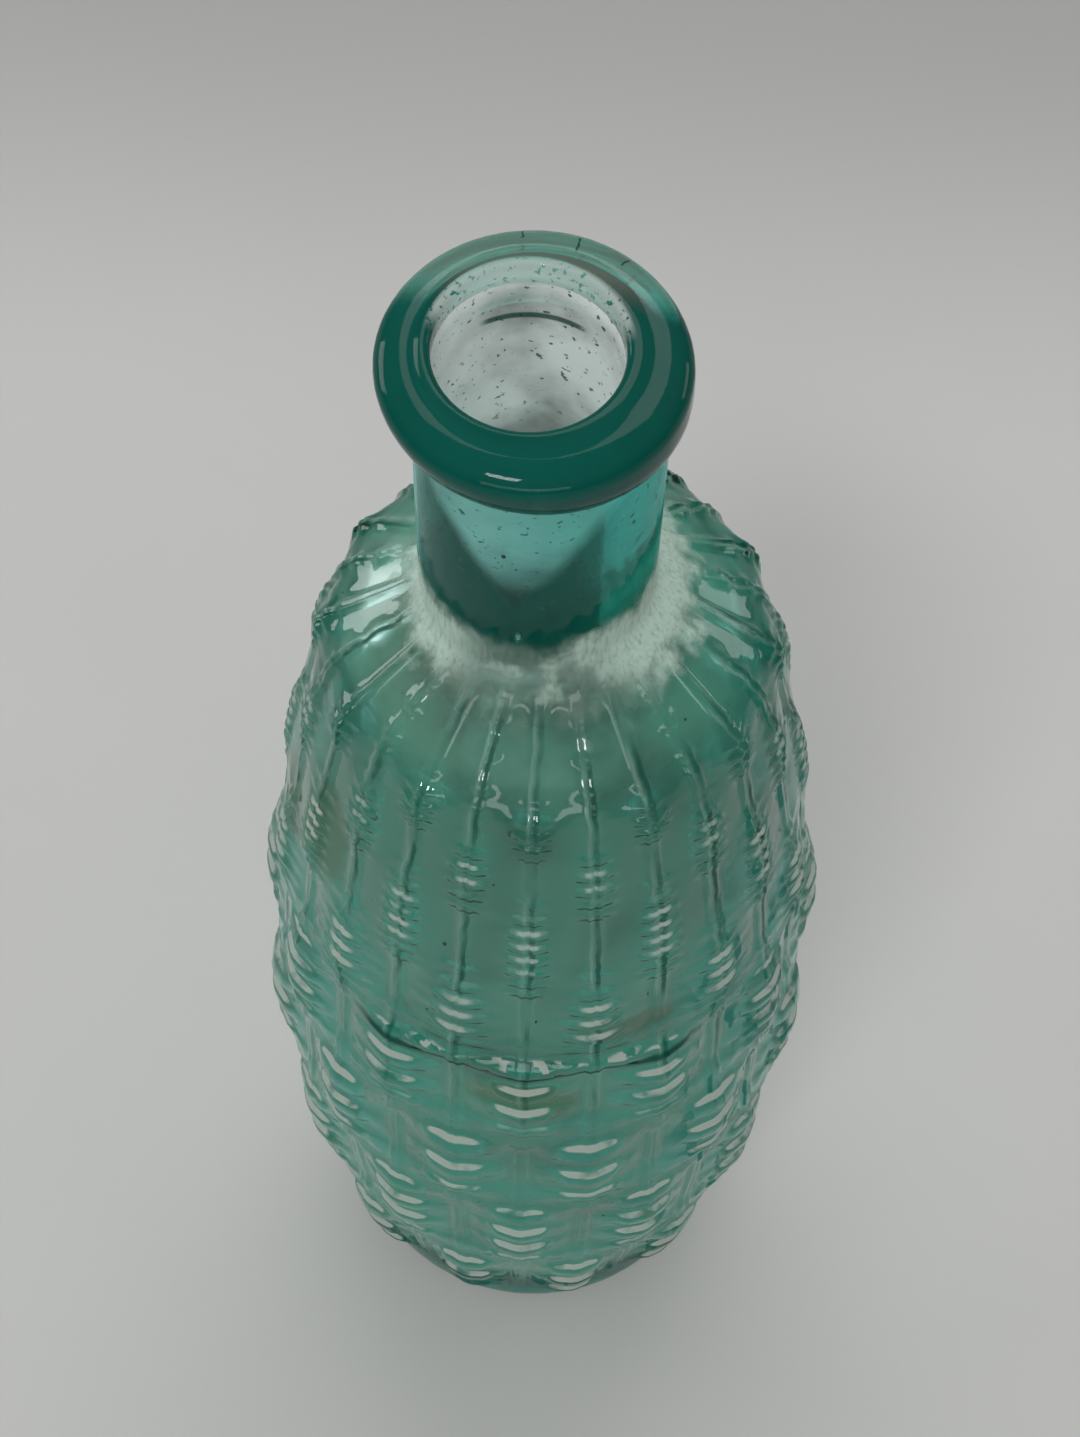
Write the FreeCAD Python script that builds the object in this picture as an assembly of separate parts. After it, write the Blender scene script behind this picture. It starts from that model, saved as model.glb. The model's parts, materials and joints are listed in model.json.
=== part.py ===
"""Antique mould-blown glass bottle with a basket-weave body and an applied lip, in millimetres.

The bottle is two pieces of glass. The body and its neck are one gather, blown into a mould
cut as wicker: upright stakes, with bands of strands woven in front of and behind them. The
lip is a second gather, laid on the sheared end of the neck and tooled round while soft.
The origin is the centre of the base, on the surface that the bottle stands on, +Z up.
"""

import FreeCAD, Part
import math
import os

# Body
HEIGHT = 168.0
BODY_RADIUS = 28.4  # halfway between the ridges and the valleys of the weave
WIDEST_HEIGHT = 59.5
LOWER_REACH = 80.0  # semi-height of the half ellipse below the widest place
UPPER_REACH = 96.0  # and of the one above it
SHOULDER_BOTTOM = 118.5
SHOULDER_TOP = 132.0
WALL = 3.2  # from the mean outline to the inner face

# Base
HEEL_HEIGHT = 5.5
HEEL_TURN_INSET = 0.6  # the rounded heel passes this far inside its upper edge
HEEL_TURN_HEIGHT = 1.9  # at this height
BASE_RADIUS = 18.5  # outer edge of the ring that the bottle stands on
BASE_RING_INNER = 13.0
PUSH_UP = 2.5  # depth of the hollow under the base
FLOOR_HEIGHT = 7.5  # inner floor of the cavity
FLOOR_RADIUS = 14.0
CAVITY_SIDE_BOTTOM = 16.0  # where the rounded corner of the floor meets the side
CORNER_INSET = 1.6  # the corner passes this far in from the foot of the side
CORNER_DROP = 5.2  # and this far below it
CAVITY_SWING_BOTTOM = 112.0  # where the cavity starts to lean across to the bore
CAVITY_HEIGHTS = [CAVITY_SIDE_BOTTOM, 28.0, 44.0, WIDEST_HEIGHT, 80.0, 98.0, CAVITY_SWING_BOTTOM]

# Finish: the neck, its bore and the lip, none of them quite on the axis of the body
NECK_RADIUS = 11.5  # where it leaves the shoulder
NECK_HEAD_RADIUS = 12.1
NECK_X = -1.3
BORE_RADIUS = 8.8
BORE_X = -2.6
LIP_RADIUS = 14.5
LIP_X = -2.0
LIP_WIDEST_HEIGHT = 165.0
LIP_BOTTOM = 160.4
LIP_TOP_DROP = 0.6  # how far the top of the lip falls from the mouth to its rounded side
LIP_COVER = 2.6  # thickness of lip glass over the sheared end of the neck
LIP_SIDE = 3.2  # width of the rounded side of the lip
LIP_TURN = 0.8  # the rounded side passes this far in and down from its own corner
LIP_UNDER_INSET = 0.7  # the underside passes this far inside the widest place
LIP_UNDER_HEIGHT = 162.2  # at this height
MOUTH_EDGE = 0.8  # width of the level edge round the mouth

# Weave
STAKES = 24
WEAVE_DEPTH = 0.03  # ridges stand this share of the radius out, and valleys as far in
STAKE_HALF_ANGLE = math.radians(2.4)
STAKE_HEIGHT = 0.03  # how far a bare stake stands out of its valley, as a share of the radius
BAND_EDGES = [HEEL_HEIGHT, 23.5, 45.0, 63.0, 81.0, 94.0, 107.0, 116.0, 121.0, 125.5]

SWING_STEPS = 6  # outlines along a loft that swings off the axis


def smooth_step(start, end, height):
    """0 up to start, 1 from end, and an even S between them."""
    share = min(1.0, max(0.0, (height - start) / (end - start)))
    return share * share * (3.0 - 2.0 * share)


def body_radius(height):
    """Mean outer radius: a half ellipse each way from the widest place, drawn in to the neck."""
    reach = LOWER_REACH if height < WIDEST_HEIGHT else UPPER_REACH
    egg = BODY_RADIUS * math.sqrt(1.0 - ((height - WIDEST_HEIGHT) / reach) ** 2)
    drawn_in = smooth_step(SHOULDER_BOTTOM, SHOULDER_TOP, height)
    return egg + (NECK_RADIUS - egg) * drawn_in


def at(x, height):
    return FreeCAD.Vector(x, 0, height)


def polar(radius, angle, height):
    return FreeCAD.Vector(radius * math.cos(angle), radius * math.sin(angle), height)


def circle(x, radius, height):
    return Part.Wire(Part.makeCircle(radius, at(x, height)))


def revolve(edges, x=0.0):
    """Turn a closed half-section, drawn to the right of x, about the upright line at x."""
    return Part.Face(Part.Wire(edges)).revolve(at(x, 0), FreeCAD.Vector(0, 0, 1), 360)


def weave_outline(band, height):
    """Plan of the weave at one height: strands peak over every other stake and dip behind the rest."""
    radius = body_radius(height)
    ridge = radius * (1.0 + WEAVE_DEPTH)
    valley = radius * (1.0 - WEAVE_DEPTH)
    stake = radius * (1.0 - WEAVE_DEPTH + STAKE_HEIGHT)
    points = []
    for k in range(STAKES):
        angle = 2.0 * math.pi * k / STAKES
        if (k + band) % 2:
            points.append(polar(ridge, angle, height))
        else:
            left, right = angle - STAKE_HALF_ANGLE, angle + STAKE_HALF_ANGLE
            points.append(polar(valley, left, height))
            points.append(polar(stake, left, height))
            points.append(polar(stake, right, height))
            points.append(polar(valley, right, height))
    return Part.makePolygon(points + points[:1])


def weave_band(band):
    bottom, top = BAND_EDGES[band], BAND_EDGES[band + 1]
    outlines = [weave_outline(band, bottom), weave_outline(band, top)]
    return Part.makeLoft(outlines, True, True)


def heel():
    """Rounded heel, standing ring and the hollow pushed up under the base."""
    outer = body_radius(HEEL_HEIGHT)
    dome = (BASE_RING_INNER**2 + PUSH_UP**2) / (2.0 * PUSH_UP)
    half_way = math.asin(BASE_RING_INNER / dome) / 2.0
    dome_middle = at(dome * math.sin(half_way), PUSH_UP - dome * (1.0 - math.cos(half_way)))
    turn = at(outer - HEEL_TURN_INSET, HEEL_TURN_HEIGHT)
    edges = [
        Part.makeLine(at(0, PUSH_UP), at(0, HEEL_HEIGHT)),
        Part.makeLine(at(0, HEEL_HEIGHT), at(outer, HEEL_HEIGHT)),
        Part.Arc(at(outer, HEEL_HEIGHT), turn, at(BASE_RADIUS, 0)).toShape(),
        Part.makeLine(at(BASE_RADIUS, 0), at(BASE_RING_INNER, 0)),
        Part.Arc(at(BASE_RING_INNER, 0), dome_middle, at(0, PUSH_UP)).toShape(),
    ]
    return revolve(edges)


def inner_radius(height):
    """The wall thins into the neck, so that the cavity meets the bore."""
    thinned = (NECK_RADIUS - BORE_RADIUS - WALL) * smooth_step(SHOULDER_BOTTOM, SHOULDER_TOP, height)
    return body_radius(height) - WALL - thinned


def swung_loft(bottom, top, x_top, radius_at):
    """Round solid whose centre swings from the body's axis across to x_top as it rises."""
    outlines = []
    for step in range(SWING_STEPS + 1):
        height = bottom + (top - bottom) * step / SWING_STEPS
        x = x_top * smooth_step(bottom, top, height)
        outlines.append(circle(x, radius_at(height), height))
    return Part.makeLoft(outlines, True)


def shoulder():
    """Smooth glass between the last band of weave and the neck."""
    return swung_loft(BAND_EDGES[-1], SHOULDER_TOP, NECK_X, body_radius)


def cavity():
    """Inside of the body, up to where it swings across to the axis of the bore."""
    side = Part.BSplineCurve()
    side.interpolate([at(inner_radius(height), height) for height in CAVITY_HEIGHTS])
    foot = side.value(side.FirstParameter)
    head = side.value(side.LastParameter)
    corner = at(foot.x - CORNER_INSET, foot.z - CORNER_DROP)
    edges = [
        Part.makeLine(at(0, head.z), at(0, FLOOR_HEIGHT)),
        Part.makeLine(at(0, FLOOR_HEIGHT), at(FLOOR_RADIUS, FLOOR_HEIGHT)),
        Part.Arc(at(FLOOR_RADIUS, FLOOR_HEIGHT), corner, foot).toShape(),
        side.toShape(),
        Part.makeLine(head, at(0, head.z)),
    ]
    swing = swung_loft(CAVITY_SWING_BOTTOM, SHOULDER_TOP, BORE_X, inner_radius)
    return revolve(edges).fuse(swing)


def bore():
    return Part.makeCylinder(BORE_RADIUS, HEIGHT + 1.0 - SHOULDER_TOP, at(BORE_X, SHOULDER_TOP))


def neck():
    length = HEIGHT - LIP_COVER - SHOULDER_TOP
    return Part.makeCone(NECK_RADIUS, NECK_HEAD_RADIUS, length, at(NECK_X, SHOULDER_TOP))


def bottle_body():
    bands = [weave_band(band) for band in range(len(BAND_EDGES) - 1)]
    outside = heel().multiFuse(bands + [shoulder(), neck()])
    return outside.cut(cavity().fuse(bore())).removeSplitter()


def applied_lip():
    top = HEIGHT - LIP_TOP_DROP
    side = LIP_X + LIP_RADIUS
    side_start = side - LIP_SIDE
    foot = NECK_X + NECK_RADIUS
    round_top = at(side - LIP_TURN, top - LIP_TURN)
    round_under = at(side - LIP_UNDER_INSET, LIP_UNDER_HEIGHT)
    edges = [
        Part.makeLine(at(LIP_X, LIP_BOTTOM), at(LIP_X, HEIGHT)),
        Part.makeLine(at(LIP_X, HEIGHT), at(BORE_X + BORE_RADIUS + MOUTH_EDGE, HEIGHT)),
        Part.makeLine(at(BORE_X + BORE_RADIUS + MOUTH_EDGE, HEIGHT), at(side_start, top)),
        Part.Arc(at(side_start, top), round_top, at(side, LIP_WIDEST_HEIGHT)).toShape(),
        Part.Arc(at(side, LIP_WIDEST_HEIGHT), round_under, at(foot, LIP_BOTTOM)).toShape(),
        Part.makeLine(at(foot, LIP_BOTTOM), at(LIP_X, LIP_BOTTOM)),
    ]
    return revolve(edges, LIP_X).cut(neck()).cut(bore()).removeSplitter()


def main():
    os.makedirs("parts", exist_ok=True)
    bottle_body().exportStep("parts/bottle_body.step")
    applied_lip().exportStep("parts/applied_lip.step")


main()
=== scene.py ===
"""Looks of the antique basket-weave bottle: teal glass on a pale floor, in metres, in the CAD frame."""

import json
import math
import random

import bpy
from mathutils import Matrix, Vector, noise


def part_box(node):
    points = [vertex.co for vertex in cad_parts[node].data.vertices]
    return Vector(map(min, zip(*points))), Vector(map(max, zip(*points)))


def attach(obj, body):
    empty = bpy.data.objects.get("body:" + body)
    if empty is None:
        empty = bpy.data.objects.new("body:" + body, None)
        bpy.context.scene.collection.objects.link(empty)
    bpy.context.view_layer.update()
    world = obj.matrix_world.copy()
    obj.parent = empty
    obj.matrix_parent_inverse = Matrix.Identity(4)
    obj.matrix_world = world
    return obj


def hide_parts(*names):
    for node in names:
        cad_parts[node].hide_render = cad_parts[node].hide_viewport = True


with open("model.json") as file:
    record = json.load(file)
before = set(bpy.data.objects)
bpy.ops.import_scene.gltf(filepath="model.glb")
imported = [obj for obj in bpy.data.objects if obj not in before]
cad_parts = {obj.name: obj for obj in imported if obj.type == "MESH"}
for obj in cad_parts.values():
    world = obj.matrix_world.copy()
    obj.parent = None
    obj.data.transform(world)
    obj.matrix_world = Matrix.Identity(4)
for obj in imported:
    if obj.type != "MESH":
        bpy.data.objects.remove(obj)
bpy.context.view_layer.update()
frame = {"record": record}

SEED = 11
MM = 0.001

# ---------------------------------------------------------------- sizes

RIDGE_SHARE = 0.03  # ridges of the weave stand this share of the radius out

# Read from the frame
_, body_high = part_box("bottle_body")
lip_low, lip_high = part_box("applied_lip")
mouth = next(m for m in frame["record"]["mounts"] if m["name"] == "mouth_bore")
TOP = lip_high.z
BODY_RADIUS = body_high.y / (1 + RIDGE_SHARE)
NECK_TOP = body_high.z
BORE_RADIUS = mouth["dims"]["r_mm"] * MM
BORE_X = mouth["pos_m"][0]
LIP_RADIUS = (lip_high.x - lip_low.x) / 2
LIP_X = (lip_high.x + lip_low.x) / 2
LIP_BOTTOM = lip_low.z

# Outline of the glass, as in the CAD model
NECK_X = -1.3 * MM
NECK_RADIUS = 11.5 * MM
NECK_HEAD_RADIUS = 12.1 * MM
WIDEST = 59.5 * MM
LOWER_REACH = 80 * MM
UPPER_REACH = 96 * MM
SHOULDER_BOTTOM = 118.5 * MM
SHOULDER_TOP = 132 * MM
SWING_BOTTOM = 112 * MM
BASE_RADIUS = 18.5 * MM
RING_INNER = 13 * MM
PUSH_UP = 2.5 * MM
FLOOR_HEIGHT = 7.5 * MM
SIDE_BOTTOM = 16 * MM
WALL = 3.2 * MM
WELD_GAP = 0.03 * MM  # between the two skins of the fused joint

# Lip
LIP_TOP_DROP = 0.6 * MM
LIP_WIDEST_DROP = 3.0 * MM
LIP_ROLL = 3.4 * MM  # radius of its rounded side
MOUTH_EDGE = 0.9 * MM  # radius of the fire-polished edge

# Bands of weave from the heel up: top edge of each, in mm, and the number of strands in it
STAKES = 24
WEAVE_BOTTOM = 5.5 * MM
BANDS = [(23.5, 3), (45, 4), (63, 3), (81, 4), (94, 5), (107, 6), (116, 4), (121, 3), (128.5, 3)]
WEAVE_TOP = BANDS[-1][0] * MM
LEDGE_SHARE = 0.3  # a band runs into its neighbours over this share of its height
UPPER_DEPTH = 0.6  # depth of the weave high on the body, as a share of its depth low down
WEAVE_FADE_BOTTOM, WEAVE_FADE_TOP = 2.5 * MM, 3 * MM

# Columns of the mesh across one stake's pitch, closer together beside the stake
COLUMN_SHARES = [0, 0.03, 0.06, 0.095, 0.14, 0.22, 0.32, 0.41, 0.5, 0.59, 0.68, 0.78, 0.86, 0.905, 0.94, 0.97]
FINE = STAKES * len(COLUMN_SHARES)
COARSE = 96

# A strand: steep underside, flat crown up to this share of its pitch, then a short steep top
STRAND_START = 0.06
STRAND_CROWN = 0.56
STRAND_SIDE = 0.95 * MM
STRAND_SIDE_MOST = 0.3  # of the pitch
STRAND_HEIGHT = 0.7 * MM
FAINT_STRANDS = 0.65
BOLD_BELOW, FAINT_ABOVE = 66 * MM, 100 * MM

# Where strands fade out, as shares of the way from stake to stake: 0 at a stake, 0.5 halfway
BOLD_REACH = (0.5, 0.36)
FAINT_REACH = (0.4, 0.12)
BEHIND_REACH = (0.2, 0.4)
BEHIND_HEIGHT = 0.35  # of a strand that passes behind a stake

STAKE_HEIGHT = 0.42 * MM
STAKE_INNER, STAKE_OUTER = 0.55 * MM, 0.85 * MM
GROOVE_DEPTH = 0.26 * MM
GROOVE_WIDTH = 0.24 * MM
GROOVE_LOSS = 0.7  # share of its depth that the groove loses under bold strands
PANEL_DEPTH = 0.35 * MM
PANEL_ARCH = 1.6 * MM
PANEL_LENGTH = 16 * MM
PANEL_STEP = 0.8 * MM
PANEL_SIDES = (0.08, 0.2)

# Lapped fold across the front, near the top of the fourth band
FRONT = -math.pi / 2
FOLD_HEIGHT = 79.5 * MM
FOLD_DEPTH = 0.8 * MM
FOLD_HALF_ANGLE = math.radians(30)
FOLD_FULL_SHARE = 0.7  # of that angle, over which the fold has its full depth
FOLD_RIPPLE, FOLD_SAG = 0.5 * MM, 0.8 * MM
FOLD_SAG_TURNS = 2.4
FOLD_TOP, FOLD_CREST, FOLD_FOOT = 1.7 * MM, 0.4 * MM, -2.0 * MM  # from its middle
FOLD_ROW = 0.4 * MM


def column_angle(k, columns):
    """Angle of column k; coarse rings use every fourth column of the fine ones."""
    stake, place = divmod(k * FINE // columns, len(COLUMN_SHARES))
    return 2 * math.pi * (stake + COLUMN_SHARES[place]) / STAKES


def smooth(start, end, value):
    """0 before start, 1 after end and an even S between, whichever of the two is larger."""
    share = min(1.0, max(0.0, (value - start) / (end - start)))
    return share * share * (3 - 2 * share)


def mean_radius(z):
    """Outer radius of the body and neck, halfway between ridges and valleys."""
    reach = LOWER_REACH if z < WIDEST else UPPER_REACH
    egg = BODY_RADIUS * math.sqrt(max(0.0, 1 - ((z - WIDEST) / reach) ** 2))
    taper = max(0.0, (z - SHOULDER_TOP) / (NECK_TOP - SHOULDER_TOP))
    neck = NECK_RADIUS + (NECK_HEAD_RADIUS - NECK_RADIUS) * taper
    return egg + (neck - egg) * smooth(SHOULDER_BOTTOM, SHOULDER_TOP, z)


def inner_radius(z):
    """Inside of the body, its wall thinning where it runs into the neck."""
    thinned = (NECK_RADIUS - BORE_RADIUS - WALL) * smooth(SHOULDER_BOTTOM, SHOULDER_TOP, z)
    return mean_radius(z) - WALL - thinned


# ---------------------------------------------------------------- weave

def band_span(band):
    """Heights of the bottom and top of a band."""
    bottom = WEAVE_BOTTOM if band == 0 else BANDS[band - 1][0] * MM
    return bottom, BANDS[band][0] * MM


def from_nearest_stake(angle):
    """Number of the nearest stake, and the distance from it as a share of the pitch of the stakes."""
    place = angle / (2 * math.pi) * STAKES
    stake = round(place)
    return stake, abs(place - stake)


def strand_profile(share, pitch):
    """Height of one strand, 0 to 1, at this share of its pitch."""
    side = min(STRAND_SIDE / pitch, STRAND_SIDE_MOST)
    under = smooth(STRAND_START, STRAND_START + side, share)
    return under * smooth(STRAND_CROWN + side, STRAND_CROWN, share)


def weave_offset(angle, z, band):
    """How far the glass stands out of its mean radius at this place in a band."""
    bottom, top = band_span(band)
    pitch = (top - bottom) / BANDS[band][1]
    radius = mean_radius(z)
    boldness = smooth(FAINT_ABOVE, BOLD_BELOW, z)
    depth = RIDGE_SHARE * radius * (UPPER_DEPTH + (1 - UPPER_DEPTH) * boldness)
    stake, away = from_nearest_stake(angle)
    arc = away * 2 * math.pi * radius / STAKES
    profile = strand_profile((z - bottom) / pitch % 1, pitch)
    if (stake + band) % 2 == 1:
        faint = FAINT_STRANDS * smooth(*FAINT_REACH, away)
        strength = boldness * smooth(*BOLD_REACH, away) + (1 - boldness) * faint
        groove = GROOVE_DEPTH * (1 - GROOVE_LOSS * boldness) * math.exp(-(arc / GROOVE_WIDTH) ** 2)
        return depth * (1 - 2 * away) + STRAND_HEIGHT * strength * profile - groove
    behind = STRAND_HEIGHT * BEHIND_HEIGHT * boldness * smooth(*BEHIND_REACH, away) * profile
    return depth * (2 * away - 1) + behind + STAKE_HEIGHT * smooth(STAKE_OUTER, STAKE_INNER, arc)


def panel_offset(angle, z):
    """Shallow panels between the stakes just under the neck, each with an arched top."""
    _, away = from_nearest_stake(angle)
    below = WEAVE_TOP - PANEL_ARCH * (1 - 2 * away) ** 2 - z
    along = smooth(0, PANEL_STEP, below) * smooth(PANEL_LENGTH, 0, below)
    return -PANEL_DEPTH * along * smooth(*PANEL_SIDES, away)


def fold_offset(angle, z):
    """Lap across the front of the glass: a low rounded ridge, with a longer slope below it than above."""
    turn = (angle - FRONT + math.pi) % (2 * math.pi) - math.pi
    ripple = FOLD_RIPPLE * math.cos(turn * STAKES / 2)
    middle = FOLD_HEIGHT + ripple - FOLD_SAG * math.cos(turn * FOLD_SAG_TURNS)
    swell = smooth(middle + FOLD_TOP, middle + FOLD_CREST, z) * smooth(middle + FOLD_FOOT, middle, z)
    return FOLD_DEPTH * swell * smooth(FOLD_HALF_ANGLE, FOLD_HALF_ANGLE * FOLD_FULL_SHARE, abs(turn))


def wobble(point, size, height):
    """Slow unevenness of hand-blown glass."""
    return height * noise.noise(point / size)


def outer_radius(angle, z):
    """Outer radius of the body anywhere below the neck."""
    radius = mean_radius(z)
    if z <= WEAVE_BOTTOM or z >= WEAVE_TOP:
        return radius
    band = next(k for k, (top_mm, _) in enumerate(BANDS) if z < top_mm * MM)
    bottom, top = band_span(band)
    ledge = LEDGE_SHARE * (top - bottom)
    offset = weave_offset(angle, z, band)
    if z > top - ledge and band + 1 < len(BANDS):
        above = weave_offset(angle, min(2 * top - z, BANDS[band + 1][0] * MM), band + 1)
        offset += (above - offset) * 0.5 * smooth(top - ledge, top, z)
    if z < bottom + ledge and band > 0:
        below = weave_offset(angle, 2 * bottom - z, band - 1)
        offset += (below - offset) * 0.5 * smooth(bottom + ledge, bottom, z)
    fade = smooth(0, WEAVE_FADE_BOTTOM, z - WEAVE_BOTTOM) * smooth(0, WEAVE_FADE_TOP, WEAVE_TOP - z)
    return radius + offset * fade + panel_offset(angle, z) + fold_offset(angle, z)


# ---------------------------------------------------------------- mesh helpers

def new_object(name, vertices, faces, slots, materials):
    mesh = bpy.data.meshes.new(name)
    mesh.from_pydata([tuple(v) for v in vertices], [], faces)
    for material in materials:
        mesh.materials.append(material)
    mesh.polygons.foreach_set("material_index", slots)
    mesh.polygons.foreach_set("use_smooth", [True] * len(mesh.polygons))
    mesh.update()
    obj = bpy.data.objects.new(name, mesh)
    bpy.context.scene.collection.objects.link(obj)
    return obj


class Shell:
    """Rings of points joined into one closed skin, each stretch of rings with its own material slot."""

    def __init__(self):
        self.vertices = []
        self.faces = []
        self.slots = []
        self.last = None

    def face(self, corners, slot):
        self.faces.append(tuple(corners))
        self.slots.append(slot)

    def ring(self, columns, point):
        """A new ring, not joined to anything yet; point gives a place from an angle."""
        start = len(self.vertices)
        for k in range(columns):
            self.vertices.append(Vector(point(column_angle(k, columns))))
        self.last = start, columns
        return self.last

    def grow(self, columns, point, slot=0):
        """A new ring joined to the last one, which has as many columns."""
        lower = self.last
        self.join(lower, self.ring(columns, point), slot)

    def join(self, lower, upper, slot=0):
        """Quads between two rings with the same number of columns, facing outwards if lower is lower."""
        (a, columns), (b, _) = lower, upper
        for k in range(columns):
            n = (k + 1) % columns
            self.face((a + k, a + n, b + n, b + k), slot)

    def step(self, few_ring, many_ring, slot=0, upwards=True):
        """Between rings where the second has a whole multiple of the first one's columns."""
        (a, few), (b, many) = few_ring, many_ring
        ratio = many // few
        half = ratio // 2
        for k in range(few):
            n = (k + 1) % few
            fan = [b + (k * ratio + j) % many for j in range(ratio + 1)]
            corners = [(a + k, fan[j + 1], fan[j]) for j in range(half)]
            corners.append((a + k, a + n, fan[half]))
            corners += [(a + n, fan[j + 1], fan[j]) for j in range(half, ratio)]
            for triangle in corners:
                self.face(triangle if upwards else reversed(triangle), slot)

    def cap(self, height, slot=0, up=True):
        """Fan that closes the last ring."""
        start, columns = self.last
        centre = len(self.vertices)
        self.vertices.append(Vector((0, 0, height)))
        for k in range(columns):
            n = (k + 1) % columns
            self.face((start + k, start + n, centre) if up else (start + n, start + k, centre), slot)

    def ellipsoid(self, centre, across, tall, slot, inward=False):
        """Small closed skin of its own; inward for a bubble of air in the glass."""
        columns, levels = 10, 6
        start = len(self.vertices)
        self.vertices.append(centre - Vector((0, 0, tall)))
        for level in range(1, levels):
            lift = -math.pi / 2 + math.pi * level / levels
            for k in range(columns):
                turn = 2 * math.pi * k / columns
                flat = across * math.cos(lift)
                around = Vector((flat * math.cos(turn), flat * math.sin(turn), tall * math.sin(lift)))
                self.vertices.append(centre + around)
        self.vertices.append(centre + Vector((0, 0, tall)))
        last = len(self.vertices) - 1
        faces = []
        for k in range(columns):
            n = (k + 1) % columns
            faces.append((start, start + 1 + n, start + 1 + k))
            for level in range(levels - 2):
                a = start + 1 + level * columns
                faces.append((a + k, a + n, a + columns + n, a + columns + k))
            a = start + 1 + (levels - 2) * columns
            faces.append((a + k, a + n, last))
        for corners in faces:
            self.face(reversed(corners) if inward else corners, slot)


def plain(radius, z, x=0.0):
    """Points of a level circle, for a ring."""
    return lambda angle: (x + radius * math.cos(angle), radius * math.sin(angle), z)


# ---------------------------------------------------------------- body and neck

GLASS, WELD, INSIDE, SPECK = 0, 1, 2, 3

WOBBLE_SIZE = 20 * MM
OUTER_WOBBLE, INNER_WOBBLE = 0.1 * MM, 0.15 * MM
WOBBLE_AROUND = 0.03  # radius of the circle through the noise that a ring follows


def outside(z):
    """Points of the outer skin at this height, for a ring."""
    x = NECK_X * smooth(WEAVE_TOP, SHOULDER_TOP, z)
    unevenness = OUTER_WOBBLE * smooth(LIP_BOTTOM, LIP_BOTTOM - 8 * MM, z)

    def point(angle):
        place = Vector((math.cos(angle), math.sin(angle), 0))
        radius = outer_radius(angle, z)
        radius += wobble(place * WOBBLE_AROUND + Vector((0, 0, z)), WOBBLE_SIZE, unevenness)
        return (x + radius * place.x, radius * place.y, z)
    return point


def inside(z):
    """Points of the inner skin at this height, for a ring."""
    x = BORE_X * smooth(SWING_BOTTOM, SHOULDER_TOP, z)

    def point(angle):
        radius = inner_radius(z) if z < SHOULDER_TOP else BORE_RADIUS
        place = Vector((math.cos(angle), math.sin(angle), 0))
        if z < SHOULDER_TOP:
            radius += wobble(place * WOBBLE_AROUND + Vector((0, 0, z + 1)), WOBBLE_SIZE, INNER_WOBBLE)
        return (x + radius * place.x, radius * place.y, z)
    return point


def weave_rows():
    """Heights of the rings through the weave."""
    rows = []
    for band, (_, strands) in enumerate(BANDS):
        bottom, top = band_span(band)
        pitch = (top - bottom) / strands
        side = min(STRAND_SIDE / pitch, STRAND_SIDE_MOST)
        rows.append(bottom)
        for strand in range(strands):
            for share in (STRAND_START, STRAND_CROWN):
                rows += [bottom + pitch * (strand + share + side * j / 3) for j in range(4)]
    rows += [FOLD_HEIGHT + FOLD_ROW * j for j in range(-9, 6)]
    rows += [WEAVE_TOP - 0.3 * j * MM for j in range(1, 9)]
    rows = sorted(z for z in rows if z > WEAVE_BOTTOM)
    apart = [rows[0]]
    for z in rows[1:]:
        if z - apart[-1] > 0.12 * MM:
            apart.append(z)
    return apart


def add_base(shell):
    """Hollow underneath, standing ring and heel."""
    dome = (RING_INNER ** 2 + PUSH_UP ** 2) / (2 * PUSH_UP)
    shell.ring(COARSE, plain(1 * MM, PUSH_UP))
    shell.cap(PUSH_UP, up=False)
    for share in (0.25, 0.5, 0.75, 0.93):
        r = RING_INNER * share
        shell.grow(COARSE, plain(r, PUSH_UP - dome + math.sqrt(dome ** 2 - r ** 2)))
    heel_top = mean_radius(WEAVE_BOTTOM)
    outline = [(RING_INNER + 0.6 * MM, 0.12 * MM), (RING_INNER + 1.6 * MM, 0), (BASE_RADIUS - 0.6 * MM, 0),
               (BASE_RADIUS + 0.5 * MM, 0.25 * MM), (BASE_RADIUS + 1.3 * MM, 1.1 * MM),
               (heel_top - 0.5 * MM, 2.4 * MM), (heel_top - 0.15 * MM, 4.2 * MM)]
    for r, z in outline:
        shell.grow(COARSE, plain(r, z))


def add_weave(shell):
    """Fine rings through the weave, between the coarse ones of the heel and the shoulder."""
    heel = shell.last
    shell.step(heel, shell.ring(FINE, outside(WEAVE_BOTTOM)))
    for z in weave_rows() + [WEAVE_TOP]:
        shell.grow(FINE, outside(z))
    fine = shell.last
    shell.step(shell.ring(COARSE, outside(WEAVE_TOP + 0.6 * MM)), fine, upwards=False)


def add_neck(shell):
    """Shoulder and neck, then the welded faces under the lip."""
    start = WEAVE_TOP + 0.6 * MM
    for bottom, top, steps in ((start, SHOULDER_TOP, 8), (SHOULDER_TOP, LIP_BOTTOM, 14)):
        for j in range(1, steps + 1):
            shell.grow(COARSE, outside(bottom + (top - bottom) * j / steps))
    shell.grow(COARSE, plain(NECK_HEAD_RADIUS, NECK_TOP, NECK_X), WELD)
    shell.grow(COARSE, plain(BORE_RADIUS, NECK_TOP, BORE_X), WELD)


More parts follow.
